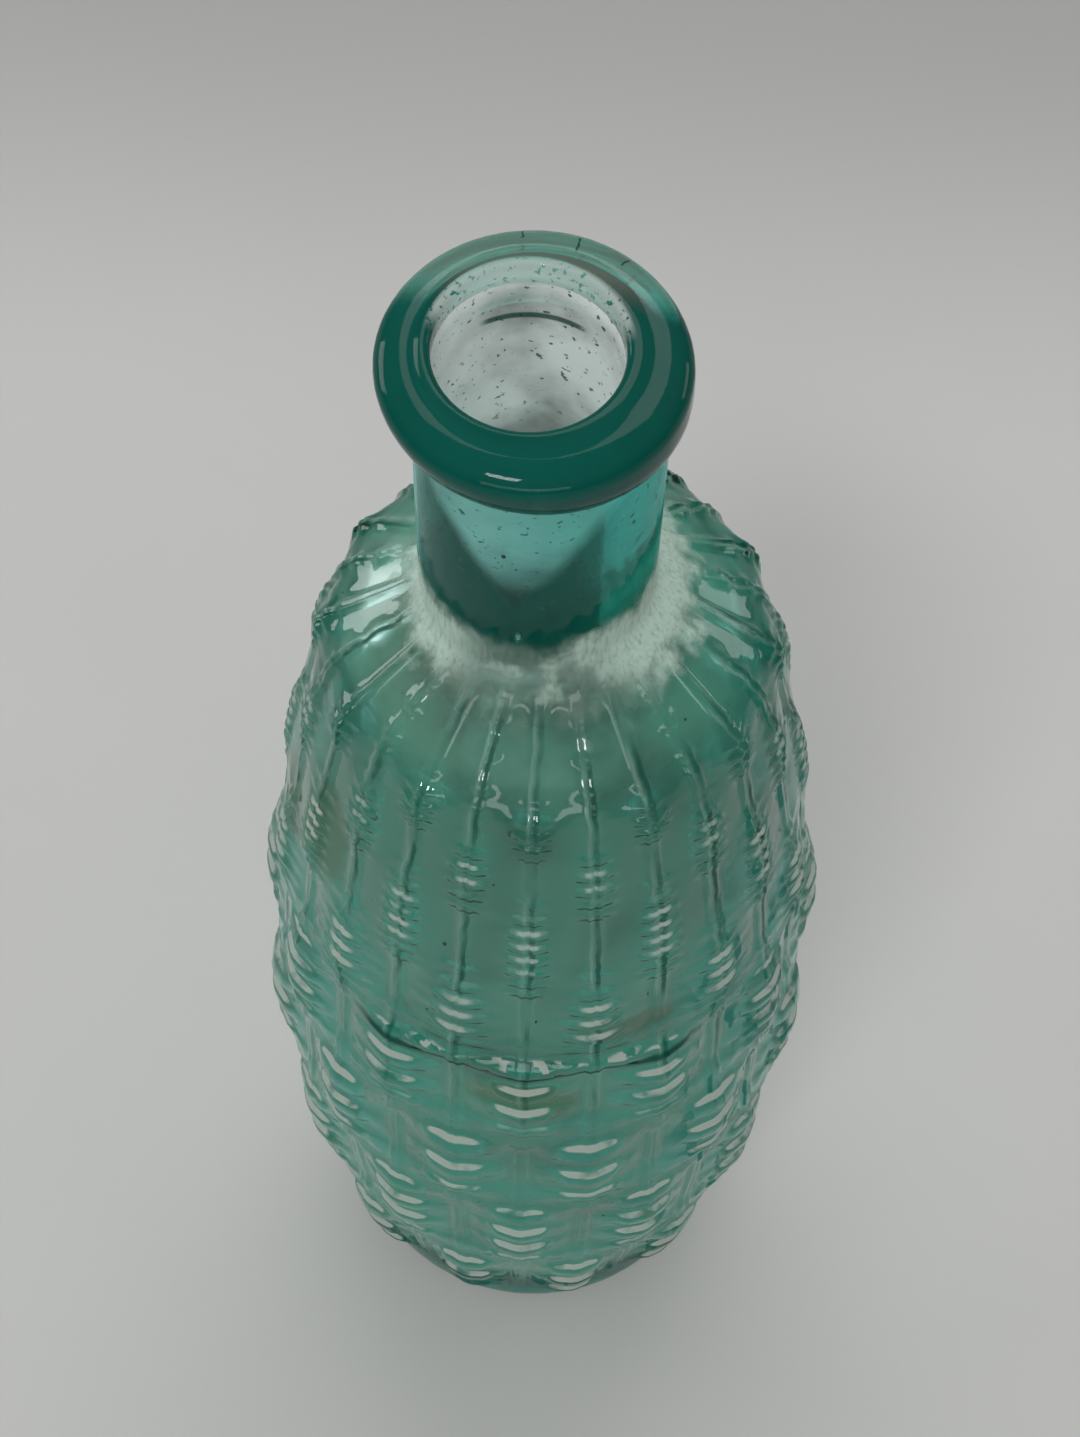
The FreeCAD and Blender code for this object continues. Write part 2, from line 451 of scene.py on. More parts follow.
def add_inside(shell):
    """Bore and cavity from the top down, with a rounded corner at the floor."""
    steps = 70
    for j in range(1, steps + 1):
        shell.grow(COARSE, inside(NECK_TOP + (SIDE_BOTTOM - NECK_TOP) * j / steps), INSIDE)
    corner = inner_radius(SIDE_BOTTOM)
    outline = [(corner - 0.7 * MM, 12.5 * MM), (corner - 2.2 * MM, 9.8 * MM), (corner - 4.4 * MM, 8.3 * MM),
               (corner - 7 * MM, 7.7 * MM), (6 * MM, FLOOR_HEIGHT), (3 * MM, FLOOR_HEIGHT)]
    for r, z in outline:
        shell.grow(COARSE, plain(r, z), INSIDE)
    shell.cap(FLOOR_HEIGHT, INSIDE)


def on_wall(degrees, height, radius, x=0.0):
    angle = math.radians(degrees)
    return Vector((x + radius * math.cos(angle), radius * math.sin(angle), height * MM))


def mid_wall(degrees, height):
    """A place halfway through the wall."""
    z = height * MM
    share = smooth(SWING_BOTTOM, SHOULDER_TOP, z)
    bore = inner_radius(z) if z < SHOULDER_TOP else BORE_RADIUS
    outer = mean_radius(z) * (1 - RIDGE_SHARE * (1 - share))
    return on_wall(degrees, height, (outer + bore) / 2, (NECK_X + BORE_X) / 2 * share)


def add_seeds(shell):
    """Seed bubbles and dark specks caught in the wall."""
    neck_wall = (NECK_RADIUS + BORE_RADIUS) / 2
    shell.ellipsoid(on_wall(-96, 136, neck_wall, NECK_X), 0.45 * MM, 1.0 * MM, GLASS, inward=True)
    shell.ellipsoid(on_wall(80, 141, neck_wall, NECK_X), 0.45 * MM, 0.6 * MM, GLASS, inward=True)
    for _ in range(70):
        degrees, height = random.uniform(0, 360), random.uniform(24, 156)
        size = random.uniform(0.06, 0.2) * MM
        shell.ellipsoid(mid_wall(degrees, height), size, size * random.uniform(1, 2.2), GLASS, inward=True)
    for degrees, height in ((-110, 97), (-88, 86), (-75, 84), (-62, 88), (-112, 84), (-100, 150)):
        shell.ellipsoid(mid_wall(degrees, height), 0.22 * MM, 0.3 * MM, SPECK)
    for _ in range(26):
        degrees, height = random.uniform(0, 360), random.uniform(30, 124)
        size = random.uniform(0.07, 0.16) * MM
        shell.ellipsoid(mid_wall(degrees, height), size, size, SPECK)


def make_body(materials):
    """One closed skin: out and up from the middle of the base, over the weld and down the inside."""
    shell = Shell()
    add_base(shell)
    add_weave(shell)
    add_neck(shell)
    add_inside(shell)
    add_seeds(shell)
    return new_object("woven_body", shell.vertices, shell.faces, shell.slots, materials)


# ---------------------------------------------------------------- lip

LIP_STEPS = 10
EDGE_STEPS = 5


def lip_outline(under, side_centre, widest, top):
    """Radius and height of each ring round the outside of the lip, from the weld up."""
    outline = []
    for j in range(1, LIP_STEPS + 1):
        turn = -math.pi / 2 + math.pi / 2 * j / LIP_STEPS
        outline.append((under + (LIP_RADIUS - under) * math.cos(turn),
                        widest + (widest - LIP_BOTTOM) * math.sin(turn)))
    for j in range(1, LIP_STEPS + 1):
        turn = math.pi / 2 * j / LIP_STEPS
        outline.append((side_centre + LIP_ROLL * math.cos(turn), widest + (top - widest) * math.sin(turn)))
    return outline


def lip_side(r, z, widest, top):
    """Points of the tooled, slightly uneven side of the lip, for a ring."""
    def point(angle):
        place = Vector((math.cos(angle), math.sin(angle), 0))
        wide = r + wobble(place * 0.012 + Vector((0, 0, z * 0.4)), 0.012, 0.22 * MM)
        lift = wobble(place * 0.010 + Vector((3, 0, 0)), 0.009, 0.3 * MM) * smooth(widest, top, z)
        x = LIP_X + (NECK_X - LIP_X) * smooth(widest, LIP_BOTTOM, z)
        return (x + wide * place.x, wide * place.y, z + min(0.0, lift))
    return point


def lip_top(share, z, side_centre):
    """Points of the top of the lip, this share of the way in from its side to the mouth, for a ring."""
    outer, inner = plain(side_centre, z, LIP_X), plain(BORE_RADIUS + MOUTH_EDGE, z, BORE_X)
    return lambda angle: Vector(outer(angle)).lerp(Vector(inner(angle)), share)


def make_lip(materials):
    """One closed skin: from the weld round the outside, over into the mouth and back along the weld."""
    shell = Shell()
    top, widest = TOP - LIP_TOP_DROP, TOP - LIP_WIDEST_DROP
    under = mean_radius(LIP_BOTTOM) + WELD_GAP
    side_centre = LIP_RADIUS - LIP_ROLL
    first = shell.ring(COARSE, plain(under, LIP_BOTTOM, NECK_X))
    for r, z in lip_outline(under, side_centre, widest, top):
        shell.grow(COARSE, lip_side(r, z, widest, top))
    for share, z in ((0.4, top + 0.25 * MM), (0.75, TOP - 0.12 * MM)):
        shell.grow(COARSE, lip_top(share, z, side_centre))
    for j in range(EDGE_STEPS + 1):
        turn = math.pi / 2 * j / EDGE_STEPS
        r = BORE_RADIUS + MOUTH_EDGE * (1 - math.sin(turn))
        shell.grow(COARSE, plain(r, TOP - MOUTH_EDGE * (1 - math.cos(turn)), BORE_X))
    shell.grow(COARSE, plain(BORE_RADIUS, NECK_TOP + WELD_GAP, BORE_X))
    shell.grow(COARSE, plain(NECK_HEAD_RADIUS + WELD_GAP, NECK_TOP + WELD_GAP, NECK_X), WELD)
    shell.join(shell.last, first, WELD)
    return new_object("tooled_lip", shell.vertices, shell.faces, shell.slots, materials)


# ---------------------------------------------------------------- node helpers

GLASS_IOR = 1.5
GLASS_TINT = (0.95, 0.99, 0.98)
BODY_ABSORPTION = ((0.0, 0.81, 0.765), 240)
LIP_ABSORPTION = ((0.0, 0.86, 0.82), 420)
RIPPLE_SCALE = 240
RIPPLE_STRENGTH = 0.6


class Graph:
    """Node tree of a material or a world, read at a place that it also splits into x, y and z."""

    def __init__(self, tree, coordinate="Object"):
        self.tree = tree
        self.place = self.add("ShaderNodeTexCoord").outputs[coordinate]
        self.x, self.y, self.z = self.split(self.place)

    def add(self, kind, **values):
        node = self.tree.nodes.new(kind)
        for key, value in values.items():
            setattr(node, key, value)
        return node

    def put(self, value, socket):
        """Link an output to a socket, or set a constant on the socket itself."""
        if isinstance(value, bpy.types.NodeSocket):
            self.tree.links.new(value, socket)
        elif socket.type == "RGBA":
            socket.default_value = (*value, 1)
        else:
            socket.default_value = value

    def split(self, vector):
        node = self.add("ShaderNodeSeparateXYZ")
        self.put(vector, node.inputs["Vector"])
        return tuple(node.outputs)

    def vector_maths(self, operation, *values):
        node = self.add("ShaderNodeVectorMath", operation=operation)
        for socket, value in zip(node.inputs, values):
            self.put(value, socket)
        return node.outputs["Value" if operation == "LENGTH" else "Vector"]

    def maths(self, operation, first, second=0.0):
        node = self.add("ShaderNodeMath", operation=operation)
        self.put(first, node.inputs[0])
        self.put(second, node.inputs[1])
        return node.outputs["Value"]

    def product(self, *factors):
        result = factors[0]
        for factor in factors[1:]:
            result = self.maths("MULTIPLY", result, factor)
        return result

    def without(self, value, taken):
        return self.maths("SUBTRACT", value, taken)

    def size(self, value):
        return self.maths("ABSOLUTE", value)

    def mapped(self, value, low, high):
        """0 where value is at low, 1 at high, smooth between, whichever of the two is larger."""
        node = self.add("ShaderNodeMapRange", interpolation_type="SMOOTHSTEP")
        self.put(low, node.inputs["From Min"])
        self.put(high, node.inputs["From Max"])
        self.put(value, node.inputs["Value"])
        return node.outputs["Result"]

    def near(self, value, middle, half_width):
        """1 where value is within about half_width of middle, 0 well away from it."""
        return self.mapped(self.size(self.without(value, middle)), half_width * 1.4, half_width * 0.6)

    def ramp(self, source, stops):
        """Straight runs through (position, value) stops, read at source."""
        node = self.add("ShaderNodeValToRGB")
        elements = node.color_ramp.elements
        while len(elements) < len(stops):
            elements.new(0.5)
        for element, (position, value) in zip(elements, stops):
            element.position = position
            element.color = (value, value, value, 1)
        self.put(source, node.inputs["Fac"])
        return node.outputs["Color"]

    def noise(self, scale, detail=2.0, stretch=(1, 1, 1)):
        stretched = self.add("ShaderNodeMapping")
        self.put(stretch, stretched.inputs["Scale"])
        self.put(self.place, stretched.inputs["Vector"])
        node = self.add("ShaderNodeTexNoise")
        self.put(scale, node.inputs["Scale"])
        self.put(detail, node.inputs["Detail"])
        self.put(stretched.outputs["Vector"], node.inputs["Vector"])
        return node.outputs["Fac"]

    def mix(self, factor, first, second):
        node = self.add("ShaderNodeMixShader")
        self.put(factor, node.inputs["Fac"])
        self.put(first, node.inputs[1])
        self.put(second, node.inputs[2])
        return node.outputs["Shader"]

    def diffuse(self, colour):
        node = self.add("ShaderNodeBsdfDiffuse")
        self.put(colour, node.inputs["Color"])
        return node.outputs["BSDF"]

    def film(self, colour, forwards=0.5):
        """Thin dry film that scatters this share of the light forwards and the rest back."""
        through = self.add("ShaderNodeBsdfTranslucent")
        self.put(colour, through.inputs["Color"])
        return self.mix(forwards, self.diffuse(colour), through.outputs["BSDF"])

    def coated(self, share, skin, colour):
        """The skin with this share of it under a film."""
        return self.mix(share, skin, self.film(colour))

    def ripples(self, height):
        """Normal of a surface with the faint unevenness of glass worked by hand."""
        bump = self.add("ShaderNodeBump")
        self.put(RIPPLE_STRENGTH, bump.inputs["Strength"])
        self.put(height, bump.inputs["Distance"])
        self.put(self.noise(RIPPLE_SCALE), bump.inputs["Height"])
        return bump.outputs["Normal"]

    def clear_glass(self, roughness, ripple_height, tint=GLASS_TINT):
        glass = self.add("ShaderNodeBsdfPrincipled")
        self.put(tint, glass.inputs["Base Color"])
        self.put(1.0, glass.inputs["Transmission Weight"])
        self.put(GLASS_IOR, glass.inputs["IOR"])
        self.put(0.14, glass.inputs["Specular IOR Level"])
        self.put(roughness, glass.inputs["Roughness"])
        self.put(self.ripples(ripple_height), glass.inputs["Normal"])
        return glass.outputs["BSDF"]

    def unreflecting_glass(self, roughness):
        """Bends light as glass does, with no gloss of its own."""
        glass = self.add("ShaderNodeBsdfRefraction")
        self.put(GLASS_TINT, glass.inputs["Color"])
        self.put(roughness, glass.inputs["Roughness"])
        self.put(GLASS_IOR, glass.inputs["IOR"])
        return glass.outputs["BSDF"]

    def deep_glass(self, colour):
        """Opaque stand-in for glass thick enough that hardly any light comes through it: its dark colour is
        painted shade, but it is still glossy.
        """
        glass = self.add("ShaderNodeBsdfPrincipled")
        self.put(colour, glass.inputs["Base Color"])
        self.put(0.07, glass.inputs["Roughness"])
        self.put(GLASS_IOR, glass.inputs["IOR"])
        self.put(0.12, glass.inputs["Specular IOR Level"])
        self.put(self.ripples(0.05 * MM), glass.inputs["Normal"])
        return glass.outputs["BSDF"]

    def blob(self, centre, radii, ragged):
        """1 inside a soft ellipsoid with a ragged edge, 0 outside; centre and radii in mm."""
        place = self.add("ShaderNodeMapping", vector_type="TEXTURE")
        self.put([value * MM for value in centre], place.inputs["Location"])
        self.put([value * MM for value in radii], place.inputs["Scale"])
        self.put(self.place, place.inputs["Vector"])
        length = self.vector_maths("LENGTH", place.outputs["Vector"])
        return self.mapped(self.maths("ADD", length, ragged), 1.65, 1.15)

    def outwards(self, x=0.0):
        """Level vector from the upright line at x."""
        flat = self.add("ShaderNodeCombineXYZ")
        self.put(self.without(self.x, x), flat.inputs["X"])
        self.put(self.y, flat.inputs["Y"])
        return flat.outputs["Vector"]

    def finish(self, surface):
        out = self.add("ShaderNodeOutputMaterial")
        self.put(surface, out.inputs["Surface"])
        return out

    def finish_glass(self, surface, clearness, absorption=BODY_ABSORPTION):
        """Light on its way to the floor passes straight through; everything else is bent and tinted."""
        shadow = self.add("ShaderNodeLightPath").outputs["Is Shadow Ray"]
        clear = self.add("ShaderNodeBsdfTransparent")
        self.put(clearness, clear.inputs["Color"])
        out = self.finish(self.mix(shadow, surface, clear.outputs["BSDF"]))
        absorb = self.add("ShaderNodeVolumeAbsorption")
        colour, density = absorption
        self.put(colour, absorb.inputs["Color"])
        self.put(density, absorb.inputs["Density"])
        only_seen = self.add("ShaderNodeMixShader")
        self.put(shadow, only_seen.inputs["Fac"])
        self.put(absorb.outputs["Volume"], only_seen.inputs[1])
        self.put(only_seen.outputs["Shader"], out.inputs["Volume"])


def new_material(name):
    material = bpy.data.materials.new(name)
    material.use_nodes = True
    material.node_tree.nodes.clear()
    return material, Graph(material.node_tree)


# ---------------------------------------------------------------- glass of the body

# Colours of painted shade: where the skin turns away or faces down, beside the stakes, under the fold, in
# slivers on the +X side and over the heel.
TURNED_AWAY_SHADE_TEAL = (0.0, 0.05, 0.035)
SHADE_LINE_TEAL = (0.0, 0.07, 0.05)
FOLD_SHADE_TEAL = (0.0, 0.08, 0.055)
HEEL_SHADE_TEAL = (0.0, 0.16, 0.12)
SLIVER_SHADE_EMERALD = (0.0, 0.25, 0.20)
# Colours of painted highlights: beside the stakes, on faint crests high up and on the strand crests low down.
HIGHLIGHT_LINE_PALE = (0.55, 0.72, 0.62)
FAINT_HIGHLIGHT_PALE = (0.5, 0.7, 0.6)
CREST_HIGHLIGHT_WHITE = (0.9, 0.88, 0.83)
# Colour of the frost on the ring at the foot of the neck.
FROST_WHITE = (0.56, 0.72, 0.63)

LEAN_PER_METRE = 4.2  # how fast the upright part of the body's normal grows with height
FROST_RAGGED = 7 * MM


def frost_share(g):
    """Ragged ring of frost at the foot of the neck, thinner in patches at the front."""
    ragged = g.maths("ADD", g.z, g.product(g.noise(420, 4, (1, 1, 0.5)), FROST_RAGGED))
    ring = g.product(g.mapped(ragged, 128.6 * MM, 132.2 * MM), g.mapped(ragged, 140.5 * MM, 137 * MM))
    streaks = g.mapped(g.noise(2400, 5, (1, 1, 0.2)), -0.15, 0.6)
    front = g.mapped(g.y, -8 * MM, -12 * MM)
    patches = g.product(front, g.mapped(g.noise(170, 3), 0.3, 0.52))
    return g.product(ring, streaks, g.without(0.9, g.product(patches, 0.72)))


def leaning(g):
    """How far the skin tips upwards beyond the body's own curve, and how far it turns sideways."""
    normal = g.add("ShaderNodeNewGeometry").outputs["Normal"]
    upward = g.without(g.split(normal)[2], g.product(g.without(g.z, WIDEST), LEAN_PER_METRE))
    outwards = g.vector_maths("NORMALIZE", g.outwards())
    return upward, g.size(g.split(g.vector_maths("CROSS_PRODUCT", outwards, normal))[2])


def from_stake(g):
    """Distance round the body from the nearest stake, negative on one side of it."""
    place = g.product(g.maths("ARCTAN2", g.y, g.x), STAKES / (2 * math.pi))
    away = g.without(place, g.maths("ROUND", place))
    return g.product(away, g.vector_maths("LENGTH", g.outwards()), 2 * math.pi / STAKES)


def with_stake_shade_and_highlight(g, skin):
    """Broken painted shade down one side of each stake on the upper body, and a painted highlight down the
    other.
    """
    wander = g.product(g.without(g.noise(320), 0.5), 0.9 * MM)
    arc = g.maths("ADD", from_stake(g), wander)
    upper = g.product(g.mapped(g.z, 60 * MM, 84 * MM), g.mapped(g.z, 130 * MM, 125 * MM),
                      g.mapped(g.noise(120), 0.36, 0.64))
    # painted shade down one side of each stake
    skin = g.coated(g.product(g.near(arc, 0.3 * MM, 0.25 * MM), upper, 0.62), skin, SHADE_LINE_TEAL)
    # painted highlight down the other side of each stake
    return g.coated(g.product(g.near(arc, -0.4 * MM, 0.2 * MM), upper, 0.34), skin, HIGHLIGHT_LINE_PALE)


def with_edge_shade(g, skin, sideways, in_weave):
    """Painted shade: slivers of deeper colour on the +X side and low down, and a deeper heel."""
    slivers = g.product(g.mapped(g.noise(430, 1, (1, 1, 0.32)), 0.57, 0.61), g.mapped(sideways, 0.08, 0.26))
    where = g.maths("MAXIMUM", g.mapped(g.x, 13 * MM, 20 * MM), g.mapped(g.z, 22 * MM, 12 * MM))
    # painted shade in slivers where the skin turns sideways, on the +X side and low down
    skin = g.coated(g.product(where, slivers, in_weave, 0.7), skin, SLIVER_SHADE_EMERALD)
    # painted shade over the heel
    return g.coated(g.product(g.mapped(g.z, 19 * MM, 9 * MM), 0.42), skin, HEEL_SHADE_TEAL)


def with_crest_highlights(g, skin, upward):
    """Painted highlights on the tops of the strands, painted shade under the fold, and painted glints along
    it.
    """
    below_shoulder = g.mapped(g.z, 118 * MM, 112 * MM)
    # painted highlights on strand tops that face upwards, with only painted glints left along the fold
    crests = g.product(g.mapped(upward, 0.34, 0.5), below_shoulder, g.mapped(g.noise(260, 3), 0.3, 0.5), 0.85)
    lap = g.product(g.near(g.z, FOLD_HEIGHT, 3 * MM), g.mapped(g.y, -20 * MM, -24 * MM))
    between_glints = g.without(1.0, g.mapped(g.noise(700), 0.5, 0.56))
    crests = g.product(crests, g.without(1.0, g.product(lap, between_glints)))
    # painted shade under the fold
    fold_shade = g.product(g.near(g.z, FOLD_HEIGHT - 2.1 * MM, 1.1 * MM), lap)
    skin = g.coated(g.product(fold_shade, 0.8), skin, FOLD_SHADE_TEAL)
    skin = g.coated(crests, skin, CREST_HIGHLIGHT_WHITE)
    # fainter painted highlights on upward-facing strand tops higher up
    faint = g.product(g.mapped(upward, 0.14, 0.3), below_shoulder, g.mapped(g.z, 78 * MM, 88 * MM),
                      g.mapped(g.noise(330), 0.38, 0.58))
    return g.coated(g.product(faint, 0.3), skin, FAINT_HIGHLIGHT_PALE)


def outside_material():
    """Clear outer skin: painted shade where it turns sideways or faces down, painted highlights on the
    crests, and the frosted ring.
    """
    material, g = new_material("teal_glass")
    on_neck = g.product(g.mapped(g.z, 133 * MM, 138 * MM), 0.7)
    skin = g.mix(on_neck, g.clear_glass(0.03, 0.06 * MM), g.unreflecting_glass(0.03))
    upward, sideways = leaning(g)
    in_weave = g.mapped(g.z, 126 * MM, 117 * MM)
    steep, under = g.mapped(sideways, 0.5, 0.72), g.mapped(upward, -0.2, -0.36)
    # painted shade where the skin in the weave turns sideways or faces down
    skin = g.coated(g.product(g.maths("MAXIMUM", steep, under), in_weave, 0.75), skin, TURNED_AWAY_SHADE_TEAL)
    skin = with_stake_shade_and_highlight(g, skin)
    skin = with_edge_shade(g, skin, sideways, in_weave)
    skin = with_crest_highlights(g, skin, upward)
    g.finish_glass(g.mix(frost_share(g), skin, g.diffuse(FROST_WHITE)), (0.97, 0.965, 0.95))
    return material


# Dried stains on the inner skin: centre and radii in mm, and colour
STAINS = [((0, -24, 69), (7, 5, 3.5), (0.27, 0.34, 0.14)), ((0, -24, 75.5), (6, 5, 1.8), (0.58, 0.48, 0.38)),
          ((11, -22, 82), (7, 5, 2.6), (0.42, 0.36, 0.25)), ((-20, -13, 101), (4, 6, 12), (0.28, 0.34, 0.15)),
          ((-23, -4, 92), (5, 6, 7), (0.31, 0.36, 0.2))]
BODY_HAZE = (0.56, 0.9, 0.70)
# Pale film in the bore: hazy residue, and painted light where it is heavier on the far side and in the
# funnel.
BORE_HAZE_AND_SHEEN = (0.95, 0.98, 0.96)
# Painted shade in the neck: deep teal either side of the clear funnel.
NECK_SHADE_TEAL = (0.0, 0.15, 0.12)
NECK_SHADE_TINT = (0.02, 0.55, 0.47)
# Colour of pitting on the inner skin of the neck.
PIT_GREY = (0.12, 0.2, 0.17)
FUNNEL_FOOT = 142 * MM  # the clear glass in the front of the neck narrows to nothing here


def tinted(g, share):
    """Colour of the inner skin: clear, or this share of the way to the neck's deep teal of painted shade."""
    tint = g.add("ShaderNodeMix", data_type="RGBA")
    first, second = [socket for socket in tint.inputs if socket.type == "RGBA"]
    g.put(share, tint.inputs["Factor"])
    g.put(GLASS_TINT, first)
    g.put(NECK_SHADE_TINT, second)
    return next(socket for socket in tint.outputs if socket.type == "RGBA")


def inside_material():
    """Hazy inner skin with dried residue; in the neck, painted shade makes it deep teal either side of a
    clear funnel, with a pale painted reflection on the front of the funnel and painted light on the far bore.
    """
    material, g = new_material("hazed_inside_with_painted_light")
    height = g.maths("DIVIDE", g.z, TOP)
    cloud, grain = g.noise(90, 4), g.noise(1400, 3)
    far = g.mapped(g.y, -1 * MM, 4 * MM)
    near = g.without(1.0, far)
    across = g.size(g.without(g.x, BORE_X))

    funnel = g.product(g.without(g.z, FUNNEL_FOOT), 0.5)
    ragged_side = g.maths("ADD", across, g.product(cloud, 3 * MM))
    aside = g.mapped(g.without(ragged_side, funnel), 0.8 * MM, 3 * MM)
    whole_neck = g.ramp(height, [(0.765, 0.0), (0.80, 1.0), (0.925, 1.0), (0.955, 0.0)])
    paler_outline = g.without(1.0, g.product(g.mapped(across, 5.5 * MM, 8.2 * MM), 0.55))
    # painted shade: deep teal either side of the clear funnel in the neck
    deep = g.product(whole_neck, aside, near, paler_outline)
    roughness = g.ramp(height, [(0.0, 0.3), (0.7, 0.3), (0.78, 0.06), (0.98, 0.12)])
    skin = g.clear_glass(roughness, 0.05 * MM, tinted(g, deep))
    skin = g.coated(g.product(deep, 0.5), skin, NECK_SHADE_TEAL)

    body_haze = g.ramp(height, [(0.0, 0.56), (0.72, 0.6), (0.78, 0.0)])
    # painted reflection: pale film on the front of the neck's clear funnel
    funnel_reflection = g.product(g.ramp(height, [(0.85, 0.0), (0.88, 0.7), (0.94, 0.6)]), g.without(1.0, aside))
    uneven = g.maths("ADD", height, g.product(g.without(cloud, 0.5), 0.06))
    # hazy residue on the far bore, made heavier near the mouth as painted light falling down the bore
    far_bore = g.ramp(uneven, [(0.845, 0.35), (0.87, 0.9), (0.98, 0.97)])
    far_haze_and_sheen = g.product(far_bore, g.mapped(height, 0.77, 0.81))
    bore_haze_and_sheen = g.maths("ADD", g.product(far, far_haze_and_sheen), g.product(near, funnel_reflection))
    haze_and_sheen = g.product(g.maths("MAXIMUM", body_haze, bore_haze_and_sheen), g.mapped(cloud, 0.05, 0.6))
    pale = g.mix(g.mapped(height, 0.76, 0.8), g.film(BODY_HAZE), g.film(BORE_HAZE_AND_SHEEN, 0.2))
    skin = g.mix(haze_and_sheen, skin, pale)

    ragged = g.maths("ADD", cloud, g.product(grain, 0.3))
    for centre, radii, colour in STAINS:
        skin = g.coated(g.product(g.blob(centre, radii, ragged), 0.7), skin, colour)
    pits = g.product(g.mapped(grain, 0.37, 0.31), g.mapped(height, 0.8, 0.9))
    skin = g.coated(pits, skin, PIT_GREY)
    # painted shade: a dark crescent on the far side, level with the underside of the lip
    crescent = g.product(g.near(g.z, LIP_BOTTOM, 0.4 * MM), far, g.mapped(across, 5.2 * MM, 4 * MM), 0.85)
    skin = g.coated(crescent, skin, SHADE_LINE_TEAL)
    g.finish_glass(skin, g.ramp(height, [(0.0, 0.3), (0.75, 0.3), (0.8, 0.95)]))
    return material


# ---------------------------------------------------------------- other materials

# Lip colours: painted shade on the near side and underneath, painted light on the far side and a painted
# highlight round the far rim.
LIP_SHADE_TEAL = (0.0, 0.085, 0.063)
LIP_UNDERSIDE_SHADE_TEAL = (0.0, 0.05, 0.04)
LIP_FAR_LIGHT_GREY = (0.46, 0.52, 0.45)
RIM_HIGHLIGHT_WHITE = (0.86, 0.9, 0.87)
# Dark colour of the short checks across the lip.
CHECK_DARK = (0.01, 0.05, 0.04)
CHECKS = ((76, 11.6, 2.0), (55, 12.2, 1.4), (99, 12.6, 1.2))  # degrees round, inner end and length in mm


def check_share(g, wander, degrees, start, length):
    """Short crack that runs outwards across the lip."""
    turned = g.add("ShaderNodeMapping", vector_type="TEXTURE")
    g.put((LIP_X, 0, 0), turned.inputs["Location"])
    g.put((0, 0, math.radians(degrees)), turned.inputs["Rotation"])
    g.put(g.place, turned.inputs["Vector"])
    out, across, _ = g.split(turned.outputs["Vector"])
    bend = g.product(g.without(wander, 0.5), 1.6 * MM)
    line = g.mapped(g.size(g.maths("ADD", across, bend)), 0.14 * MM, 0.05 * MM)
    from_middle = g.size(g.without(out, (start + length / 2) * MM))
    return g.product(line, g.mapped(from_middle, length * 0.55 * MM, length * 0.4 * MM), 0.85)


def lip_material():
    """Smooth fire-polished teal, with painted shade making it deep on the near side and darker underneath,
    painted light on the far side and round the far rim, and three short checks across the far side.
    """
    material, g = new_material("lip_glass")
    streaks = g.mapped(g.noise(130, 3, (1, 1, 0.4)), -0.5, 0.5)
    # painted shade: deep teal on the near side, darker again underneath
    depth = g.product(g.mapped(g.y, 8 * MM, 4 * MM), streaks, 0.92)
    underside = g.mapped(g.z, TOP - 2.6 * MM, TOP - 4.6 * MM)
    lip_shade = g.mix(underside, g.deep_glass(LIP_SHADE_TEAL), g.deep_glass(LIP_UNDERSIDE_SHADE_TEAL))
    skin = g.mix(depth, g.clear_glass(0.03, 0.05 * MM), lip_shade)
    # painted light: pale grey-green over the far side of the lip
    skin = g.coated(g.product(g.mapped(g.y, 4 * MM, 9 * MM), 0.42), skin, LIP_FAR_LIGHT_GREY)
    from_bore = g.vector_maths("LENGTH", g.outwards(BORE_X))
    # painted highlight: speckled pale rim round the far side of the mouth
    rim = g.product(g.mapped(from_bore, BORE_RADIUS + 1.1 * MM, BORE_RADIUS + 0.5 * MM),
                    g.mapped(g.y, 1 * MM, 4 * MM), g.mapped(g.noise(1500, 3), 0.34, 0.44), 0.85)
    skin = g.coated(rim, skin, RIM_HIGHLIGHT_WHITE)
    wander = g.noise(500)
    for check in CHECKS:
        skin = g.mix(check_share(g, wander, *check), skin, g.diffuse(CHECK_DARK))
    g.finish_glass(skin, (0.97, 0.975, 0.97), LIP_ABSORPTION)
    return material


def weld_material():
    """The fused joint between neck and lip: glass on both sides, so nothing bends there."""
    material, g = new_material("fused_joint")
    g.finish(g.add("ShaderNodeBsdfTransparent").outputs["BSDF"])
    return material


def speck_material():
    material, g = new_material("dark_speck")
    g.finish(g.mix(g.noise(900), g.diffuse((0.01, 0.04, 0.035)), g.diffuse((0.05, 0.09, 0.06))))
    return material


def floor_material():
    """Pale matt card, with painted shade making it a little darker towards the back."""
    material, g = new_material("pale_card")
    pale = g.mix(g.noise(30), g.diffuse((0.60, 0.60, 0.585)), g.diffuse((0.63, 0.63, 0.615)))
    # painted shade towards the back
    g.finish(g.mix(g.mapped(g.y, 0.10, 0.19), pale, g.diffuse((0.42, 0.42, 0.41))))
    return material


# ---------------------------------------------------------------- stage, lights and camera

FLOOR_HALF = 2
LIGHT_TARGET = (0, 0, 0.08)

# Name, place, size and power of each soft light
LIGHTS = [("overhead", (0.0, 0.6, 1.0), (0.9, 0.6), 4.2),
          ("front_strip", (0.0, -1.2, 0.55), (1.2, 0.22), 2.2),
          ("front_top", (-0.25, -0.75, 1.2), (0.35, 0.2), 4.8),
          ("left_window", (-1.1, 0.5, 0.35), (0.5, 0.4), 2.2),
          ("right_window", (1.1, 0.6, 0.3), (0.4, 0.25), 0.6)]
WORLD_STRENGTH = 0.4


